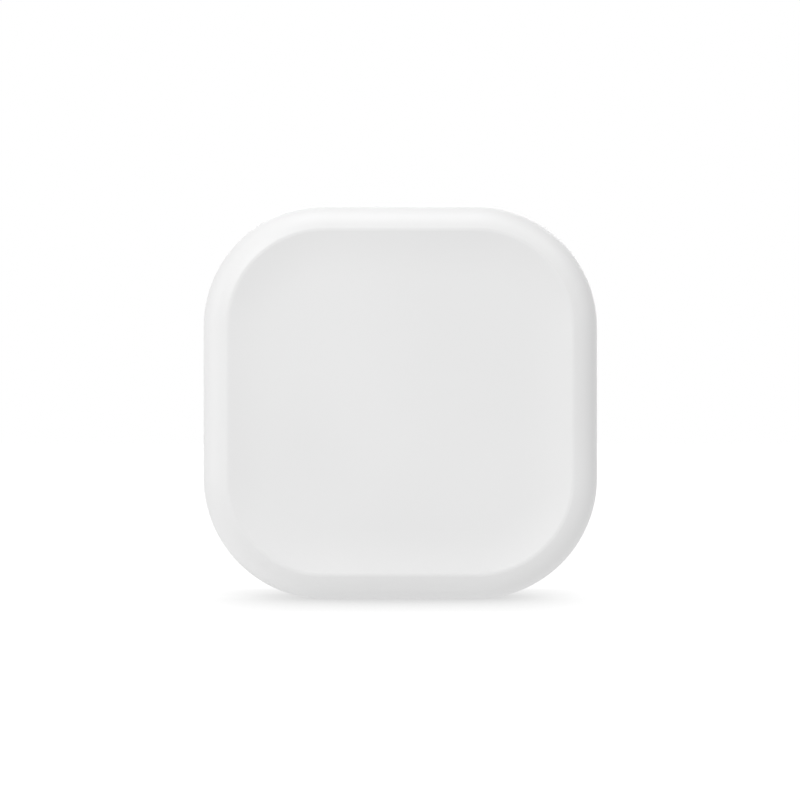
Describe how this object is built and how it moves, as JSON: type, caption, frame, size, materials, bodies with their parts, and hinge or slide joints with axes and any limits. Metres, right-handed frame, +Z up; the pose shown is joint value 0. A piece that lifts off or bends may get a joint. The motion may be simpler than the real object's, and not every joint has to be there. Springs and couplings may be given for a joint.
{
  "type": "plug-in radio range extender",
  "caption": "Rounded square plug-in radio repeater: softly dished face, rolled rim, side button with light window, flat wall-plug blades at the back.",
  "frame": {"origin": "middle of the back face, in the plane that meets the wall plate, midway between the blades", "axes": "+Z up as the device hangs on the wall and as it stands on its lower side, +Y into the wall along the blades, -Y out of the dished face, +X to the right as seen from in front"},
  "size_m": [0.052, 0.044, 0.052],
  "materials": {
    "housing_plastic": "fine satin moulding",
    "button_plastic": "fine satin moulding",
    "light_guide": "clear moulding, lightly frosted",
    "blade_metal": "nickel plated",
    "carrier_plastic": "moulded",
    "screw_steel": "zinc plated",
    "spacer_plastic": "extruded",
    "barrier_film": "film",
    "board_laminate": "lacquered laminate",
    "ferrite": "sintered",
    "bobbin_plastic": "moulded",
    "winding_tape": "taped winding",
    "capacitor_sleeve": "shrunk sleeve",
    "choke_wire": "lacquered copper",
    "varistor_coat": "dipped coat",
    "resistor_coat": "dipped coat",
    "safety_coat": "dipped coat",
    "chip_plastic": "moulded",
    "pin_metal": "gold flashed",
    "can_metal": "tinned",
    "track_copper": "gold flashed",
    "ceramic_chip": "fired",
    "switch_plastic": "moulded",
    "led_plastic": "cast"
  },
  "bodies": {
    "housing": {"front_shell": "housing_plastic", "rear_cover": "housing_plastic", "light_pipe": "light_guide", "line_blade": "blade_metal", "neutral_blade": "blade_metal", "blade_carrier": "carrier_plastic", "carrier_screws": "screw_steel", "board_screws": "screw_steel", "board_spacers": "spacer_plastic", "barrier_sheet": "barrier_film", "power_board": "board_laminate", "radio_board": "board_laminate", "transformer_core": "ferrite", "transformer_bobbin": "bobbin_plastic", "transformer_winding": "winding_tape", "bulk_capacitor_1": "capacitor_sleeve", "bulk_capacitor_2": "capacitor_sleeve", "output_capacitor": "capacitor_sleeve", "input_choke": "choke_wire", "surge_varistor": "varistor_coat", "fusible_resistor": "resistor_coat", "safety_capacitor": "safety_coat", "bridge_rectifier": "chip_plastic", "converter_chip": "chip_plastic", "output_diode": "chip_plastic", "optocoupler": "chip_plastic", "header_pins": "pin_metal", "header_base": "bobbin_plastic", "radio_module_board": "board_laminate", "radio_chip": "chip_plastic", "crystal": "can_metal", "shield_can": "can_metal", "antenna_track": "track_copper", "voltage_regulator": "chip_plastic", "chip_capacitors": "ceramic_chip", "switch_base": "switch_plastic", "switch_cover": "can_metal", "switch_dome": "can_metal", "status_light": "led_plastic"},
    "button": {"action_button": "button_plastic", "switch_plunger": "switch_plastic"}
  },
  "joints": [
    {"name": "button_press", "type": "slide", "parent": "housing", "child": "button", "axis": [-1, 0, 0], "range_m": [0, 0.0003], "stiffness_N_per_m": 2500, "springref_m": -0.0004, "deforming": ["switch_dome"]}
  ]
}
